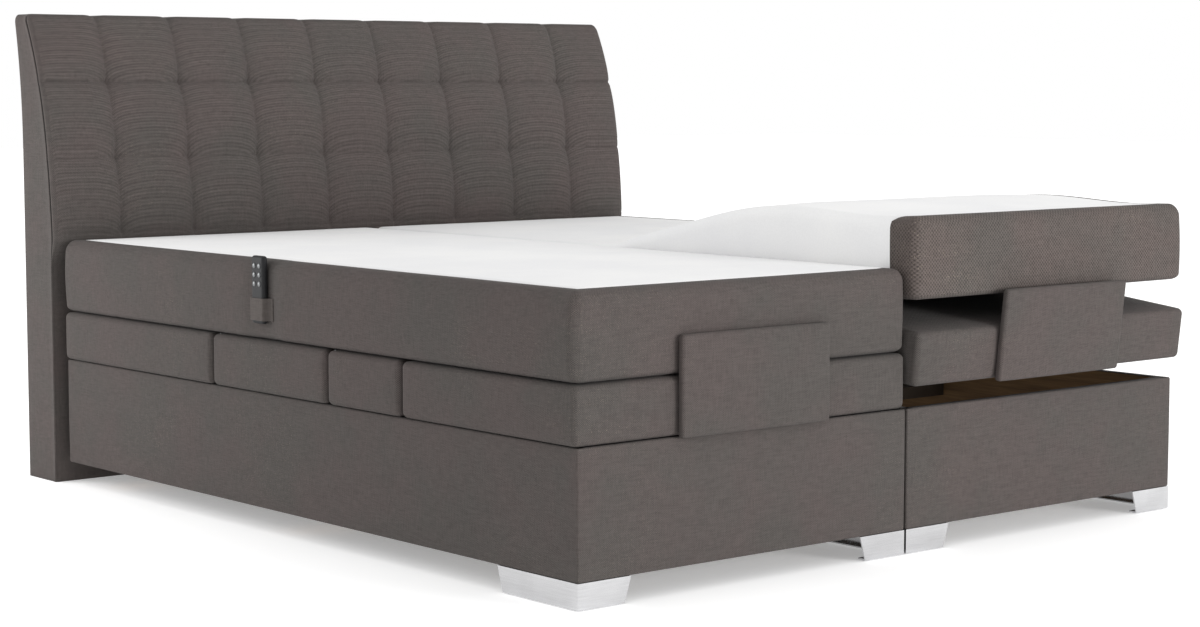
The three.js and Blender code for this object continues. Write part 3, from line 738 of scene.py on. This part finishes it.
def sections(half):
    """Back, seat, thigh and foot sections and the stop panel of one half."""
    side = SIDES[half]
    centre = side * HALF_CENTRE
    inner = centre - side * (HALF_WIDTH / 2 - PAD_INNER_INSET)
    outer = centre + side * (HALF_WIDTH / 2 + STAND_OUT)
    x0, x1 = sorted((inner, outer))
    gap = SECTION_GAP / 2
    thigh_turn = ((THIGH_Y, UPPER_AXIS_Z), RAISED[half])
    knee_turn = ((KNEE_Y, LOWER_AXIS_Z), RAISED[half] * KNEE_RATIO)
    plan = {
        "back": (BACK_Y + gap, BED_LENGTH, f"{half}_back", ()),
        "seat": (THIGH_Y + gap, BACK_Y - gap, "base", ()),
        "thigh": (KNEE_Y + gap, THIGH_Y - gap, f"{half}_thigh", (thigh_turn,)),
        "calf": (0.0, KNEE_Y - gap, f"{half}_calf", (knee_turn, thigh_turn)),
    }
    for seed, (label, (y0, y1, body, turns)) in enumerate(plan.items()):
        low, high = (x0, y0, SECTION_BOTTOM + PAD_LIFT), (x1, y1, SECTION_TOP)
        made = cushion(f"{half}_{label}_pad", low, high, PAD_RADIUS, PAD_BULGE, 3 * seed + side)
        turned_piece(made, *turns)
        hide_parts(f"{half}_section_{label}")
        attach(made, body)
    low, high = ((centre + x, y, z) for x, y, z in (STOP_LOW, STOP_HIGH))
    panel = cushion(f"{half}_stop_pad", low, high, STOP_RADIUS, STOP_BULGE, 11 + side, step=16.0)
    turned_piece(panel, knee_turn, thigh_turn)
    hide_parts(f"{half}_stop_panel")
    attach(panel, f"{half}_calf")


# ---------------------------------------------------------------- box covers
def rim(half_width, length_middle, radius, step=18.0, arc=5):
    """Closed rounded rectangle seen from above: its points and outward directions."""
    a = half_width - radius
    places, directions = [], []
    corners = [(a, -1, 270), (a, 1, 0), (-a, 1, 90), (-a, -1, 180)]
    for x, along, start in corners:
        y = length_middle + along * (BED_LENGTH / 2 - radius)
        for k in range(arc + 1):
            angle = math.radians(start + 90 * k / arc)
            places.append((x + radius * math.cos(angle), y + radius * math.sin(angle)))
            directions.append((math.cos(angle), math.sin(angle)))
    return refined(places, directions, step)


def refined(places, directions, step):
    """Adds evenly spaced points on the long straight runs of a closed line."""
    fine_places, fine_directions = [], []
    for i, (place, direction) in enumerate(zip(places, directions)):
        following = places[(i + 1) % len(places)]
        count = max(1, round(math.dist(place, following) / step))
        for k in range(count):
            t = k / count
            fine_places.append([p + (q - p) * t for p, q in zip(place, following)])
            fine_directions.append(direction)
    return np.array(fine_places), np.array(fine_directions)


def cover_profile(top, bottom):
    """Section through the fabric as (inset from the wall, z): a closed line, 1.4 to 1.5 mm thick."""
    profile = [(23.0, top), (3.5, top), (1.0, top - 1.0), (0.0, top - 3.5)]
    profile += [(0.0, top - (top - bottom) * k / 12) for k in range(1, 12)]
    profile += [(0.0, bottom + 3.5), (1.0, bottom + 1.0), (3.5, bottom), (40.0, bottom)]
    profile += [(40.0, bottom + 1.4), (1.8, bottom + 1.4), (1.5, bottom + 4)]
    profile += [(1.5, top - 4), (1.8, top - 1.4), (23.0, top - 1.4)]
    return profile


def closed_tube(rings, count):
    """Quads between closed rings of count points, the last ring joined to the first."""
    quads = []
    for r in range(len(rings)):
        s = (r + 1) % len(rings)
        for i in range(count):
            j = (i + 1) % count
            quads.append([r * count + j, r * count + i, s * count + i, s * count + j])
    return quads


def box_cover(half):
    """Fabric stretched over the box: wall, turned over the top edge and under the bottom edge."""
    side = SIDES[half]
    places, directions = rim(HALF_WIDTH / 2, BED_LENGTH / 2, 4.0)
    rings = []
    for inset, z in cover_profile(BOX_TOP, FOOT_HEIGHT):
        soft = 0.0
        if inset == 0.0:
            rise = math.sin(math.pi * (z - FOOT_HEIGHT) / (BOX_TOP - FOOT_HEIGHT))
            soft = rise * (0.5 + 0.5 * ripple(places.sum(axis=1) / 130, z / 70, 7 + side))
        plan = places - directions * np.reshape(inset - soft, (-1, 1))
        rings.append(np.column_stack([plan[:, 0] + side * HALF_CENTRE, plan[:, 1], np.full(len(plan), z)]))
    quads = closed_tube(rings, len(places))
    made = mesh_piece(f"{half}_box_fabric", np.concatenate(rings), quads, [FABRIC])
    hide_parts(f"{half}_box_cover")
    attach(made, "base")


# ---------------------------------------------------------------- headboard
def headboard_front(z):
    """Plane behind the padding, which leans back above the lowest row of tufts."""
    lean = np.clip(z - ROWS[0], 0, None) / (ROWS[3] - ROWS[0])
    return PADDING_BACK + 38 * lean + 84 * lean**3


def headboard_back(z):
    """Back face, which leans a little further so that the wooden core stays inside."""
    return BOARD_BACK + 30 * (np.clip(z - 850, 0, None) / 320) ** 2


def nearest_column(x):
    """Distance from the nearest vertical seam."""
    column = np.abs(x) / COLUMN + 0.5
    return np.abs(column - np.round(column)) * COLUMN


def padding(x, z):
    """How far the padding stands forward: held back at the seams and pulled in deep at the tufts."""
    across = nearest_column(x)
    seamed = np.abs(x) < 3.5 * COLUMN + 60
    across = np.where(seamed, across, 90.0)
    upright = smoothstep((z - ROWS[0] + 40) / 60)
    valley = SEAM_VALLEY * np.exp(-((across / VALLEY_WIDTH) ** 1.3))
    valley += SEAM_CREASE * np.exp(-((across / CREASE_WIDTH) ** 2))
    depth = PADDING - valley * upright
    for level, tuft, row in zip(ROWS[:3], TUFT_SHARES, ROW_SHARES):
        rise = z - level
        valley = ROW_VALLEY * np.exp(-((np.abs(rise) / 22) ** 1.2))
        valley += ROW_CREASE * np.exp(-((rise / CREASE_WIDTH) ** 2))
        reach = np.hypot(across / 40, rise / np.where(rise > 0, 62.0, 46.0))
        depth -= row * valley
        depth -= tuft * TUFT_DEPTH * np.exp(-(reach**1.15))
    return FLAT_PADDING + (depth - FLAT_PADDING) * smoothstep((z - 545) / 75)


def headboard_lines():
    """Grid lines of the headboard, closer together at its seams and rows of tufts.

    Depth is a share: -1 the front of the padding, 0 the plane behind it, 1 the back.
    """
    near = (-18, -9, -4, -1.5, 0, 1.5, 4, 9, 18)
    seams = [(i + 0.5) * COLUMN * sign for i in range(4) for sign in (-1, 1)]
    beside_seams = [x + step for x in seams for step in near]
    beside_rows = [z + step for z in ROWS[:3] for step in near]
    xs = arc_lines(-HEADBOARD_SIDE, HEADBOARD_SIDE, 14.0, 14.0, 11.0, beside_seams)
    ys = arc_lines(-1.0, 1.0, 0.3, 0.05, 0.2, (EDGE_SEAM - 0.06, EDGE_SEAM, EDGE_SEAM + 0.06))
    zs = arc_lines(0.0, HEADBOARD_TOP, 0.0, 22.0, 11.0, beside_rows, arc=6)
    return xs, ys, zs


def headboard_shape(grid):
    """Puts the padding's relief, its overhang at the sides and the edge seam on the headboard's grid."""
    side = HEADBOARD_SIDE
    low, high = (-side, -1.0, 0.0), (side, 1.0, HEADBOARD_TOP)
    points = rounded(grid, low, high, (14.0, 0.3, 0.0), (14.0, 0.05, 22.0))
    x, depth, z = points.T.copy()
    front, back = headboard_front(z), headboard_back(z)
    thickness = padding(grid[:, 0], grid[:, 2])
    thickness += 0.6 * ripple(x / 60, z / 60, 4) * smoothstep((side - np.abs(x)) / 40)
    points[:, 1] = front + np.where(depth < 0, depth * thickness, depth * (back - front))
    swollen = np.sin(np.pi * np.clip(-depth, 0, 1)) * smoothstep((np.abs(x) - side + 30) / 30)
    points[:, 0] += np.sign(x) * 7.0 * swollen * thickness / PADDING
    on_seam = (np.abs(grid[:, 1] - EDGE_SEAM) < 1e-6) & (np.abs(x) > side - 1)
    points[:, 0] -= np.where(on_seam, np.sign(x) * 4.5, 0.0)
    dip = np.exp(-((nearest_column(x) / 14) ** 2)) * (np.abs(x) < 3.6 * COLUMN)
    points[:, 2] -= 4.0 * dip * smoothstep((grid[:, 2] - 1135) / 30)
    return points


def headboard_cover(middle, axis, end):
    """Number of the cover of one quad: 0 ribbed front, 1 plain fabric, 2 the painted shadow in the edge
    seam.
    """
    if axis == 1 and end == 0:
        return 0
    return 2 if axis == 0 and abs(middle[1] - EDGE_SEAM) < 0.06 else 1


def headboard_held(grid):
    """Points that stay put while the padding swells: all but the front between its seams and rows."""
    on_front = (grid[:, 1] < -0.95) & (np.abs(grid[:, 0]) < HEADBOARD_SIDE - 20)
    loose = on_front & (grid[:, 2] > ROWS[0] - 20)
    on_column = (nearest_column(grid[:, 0]) < 3) & (np.abs(grid[:, 0]) < 3.6 * COLUMN)
    on_row = np.abs(grid[:, 2, None] - ROWS[:3]).min(axis=1) < 3
    return ~loose | on_column | on_row


def headboard():
    """The padded headboard: tufted padding sewn to the side panels at a seam behind its edge."""
    grid, quads, sides = box_grid(*headboard_lines())
    middles = grid[np.array(quads)].mean(axis=1)
    chosen = [headboard_cover(middle, *face) for middle, face in zip(middles, sides)]
    covers = [HEADBOARD_FABRIC, FABRIC, SEAM_SHADOW_FABRIC]
    made = mesh_piece("headboard_padding", headboard_shape(grid), quads, covers, chosen)
    settled(made, headboard_held(grid), PADDING_PRESSURE, PADDING_CAP)
    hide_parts("headboard_upholstery")
    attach(made, "base")


# ---------------------------------------------------------------- handset
HANDSET_Y = 1084.0
HANDSET_Z = (470.0, 620.0)
HANDSET_FACE = -921.0
HANDSET_BACK = -906.0
HANDSET_HALF_WIDTH = 25.0
KEY_PITCH = 20.0
KEY_HALF = 5.6
TOP_KEY_DROP = 22.0
STRAP_Z = (477.0, 527.0)
STRAP_HALF = 44.0
STRAP_THICKNESS = 1.8


def rounded_box(name, low, high, radii, step, material, arc=4):
    """A box whose edges are rounded with one radius per axis."""
    lines = [arc_lines(a, b, r, r, step, arc=arc) for a, b, r in zip(low, high, radii)]
    grid, quads, _ = box_grid(*lines)
    return mesh_piece(name, rounded(grid, low, high, radii, radii), quads, [material])


def handset():
    """Remote control: a rounded shell and six domed keys."""
    low = (HANDSET_FACE, HANDSET_Y - HANDSET_HALF_WIDTH, HANDSET_Z[0])
    high = (HANDSET_BACK, HANDSET_Y + HANDSET_HALF_WIDTH, HANDSET_Z[1])
    shell = rounded_box("handset_body", low, high, (6.0, 9.0, 7.0), 8.0, BLACK_PLASTIC)
    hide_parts("handset_shell")
    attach(shell, "handset")
    for number in range(1, 7):
        row, column = divmod(number - 1, 2)
        y = HANDSET_Y + (column - 0.5) * KEY_PITCH
        z = HANDSET_Z[1] - TOP_KEY_DROP - row * KEY_PITCH
        low = (HANDSET_FACE - 2.6, y - KEY_HALF, z - KEY_HALF)
        high = (HANDSET_FACE + 1.4, y + KEY_HALF, z + KEY_HALF)
        key = rounded_box(f"handset_button_{number}", low, high, (1.9, 5.5, 5.5), 2.0, KEY_SILVER)
        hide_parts(f"handset_key_{number}")
        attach(key, f"key_{number}")


def handset_strap():
    """Elastic band over the lower part of the handset, sewn to the mattress at both sides."""
    xs = arc_lines(0.0, STRAP_THICKNESS, 0.8, 0.8, 1.0)
    ys = arc_lines(-STRAP_HALF, STRAP_HALF, 0.0, 0.0, 2.0)
    zs = arc_lines(*STRAP_Z, 1.2, 1.2, 5.0)
    grid, quads, _ = box_grid(xs, ys, zs)
    low, high = (0.0, -STRAP_HALF, STRAP_Z[0]), (STRAP_THICKNESS, STRAP_HALF, STRAP_Z[1])
    points = rounded(grid, low, high, (0.8, 0.0, 1.2), (0.8, 0.0, 1.2))
    over = smoothstep((HANDSET_HALF_WIDTH + 7 - np.abs(points[:, 1])) / 8)
    lifted = HANDSET_FACE - 2.3
    flat = lifted + 14.5
    gathered = 0.35 * np.sin(points[:, 2] * math.tau / 6.5)
    points[:, 0] += flat + (lifted - flat) * over + gathered
    points[:, 1] += HANDSET_Y
    strap = mesh_piece("handset_band", points, quads, [BAND])
    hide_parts("handset_strap")
    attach(strap, "base")


# ---------------------------------------------------------------- carried-over CAD nodes
NODE_MATERIALS = {
    "box_frame": WOOD,
    "headboard_core": WOOD,
    "foot_outer": CHROME,
    "foot_inner": CHROME,
    "rear_leg": BLACK_PLASTIC,
    "drive_frame": BROWN_STEEL,
    "drive_unit": BLACK_PLASTIC,
    "lift_shaft": ZINC,
    "hinge": ZINC,
    "stop_bracket": ZINC,
    "headboard_bracket": ZINC,
}


def dress_nodes():
    """Gives every CAD node that still shows its material."""
    for name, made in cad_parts.items():
        if made.hide_render:
            continue
        material = next(m for key, m in NODE_MATERIALS.items() if key in name)
        made.data.materials.clear()
        made.data.materials.append(material)


# ---------------------------------------------------------------- camera, floor, light
def camera():
    lens = bpy.data.cameras.new("camera")
    lens.lens = 74.85
    lens.sensor_width = 36.0
    lens.sensor_fit = "HORIZONTAL"
    lens.clip_end = 100.0
    made = bpy.data.objects.new("camera", lens)
    made.location = (-3.8576, -4.6637, 0.9994)
    made.rotation_euler = (math.radians(90 - 5.293), 0.0, math.radians(-39.99))
    bpy.context.scene.collection.objects.link(made)
    bpy.context.scene.camera = made


def area_light(name, place, target, size, power):
    data = bpy.data.lights.new(name, "AREA")
    data.shape = "SQUARE"
    data.size = size
    data.energy = power
    made = bpy.data.objects.new(name, data)
    made.location = place
    made.rotation_euler = (Vector(target) - Vector(place)).to_track_quat("-Z", "Y").to_euler()
    bpy.context.scene.collection.objects.link(made)


def floor():
    """A wide pale floor that glows a little, so that it stays white under the bed."""
    mesh = bpy.data.meshes.new("floor")
    mesh.from_pydata([(-30, -30, 0), (30, -30, 0), (30, 30, 0), (-30, 30, 0)], [], [(0, 1, 2, 3)])
    made = bpy.data.objects.new("floor", mesh)
    material, tree, surface, coordinates = shader("floor_white", 0.9)
    tone = noise(tree, coordinates.outputs["Object"], 2.0)
    colour = ramp(tree, tone, (0.3, (0.93, 0.93, 0.93)), (0.7, (0.95, 0.95, 0.95)))
    tree.links.new(colour, surface.inputs["Base Color"])
    surface.inputs["Emission Color"].default_value = (1.0, 1.0, 1.0, 1.0)
    surface.inputs["Emission Strength"].default_value = 0.3
    mesh.materials.append(material)
    bpy.context.scene.collection.objects.link(made)


def studio():
    """White surroundings, and two soft lights: one beside the headboard, one in front of the foot."""
    floor()
    world = bpy.data.worlds.new("studio")
    world.use_nodes = True
    background = world.node_tree.nodes["Background"]
    background.inputs["Color"].default_value = (1.0, 1.0, 1.0, 1.0)
    background.inputs["Strength"].default_value = 1.0
    bpy.context.scene.world = world
    area_light("head_side", (-2.4, 2.0, 0.9), (-0.9, 0.9, 0.5), 1.2, 26.0)
    area_light("foot_front", (1.6, -7.0, 0.9), (0.2, 0.0, 0.5), 2.5, 300.0)


camera()
studio()
for half_name in SIDES:
    mattress(half_name)
    sections(half_name)
    box_cover(half_name)
headboard()
handset()
handset_strap()
dress_nodes()

bpy.context.scene.view_settings.view_transform = "Standard"
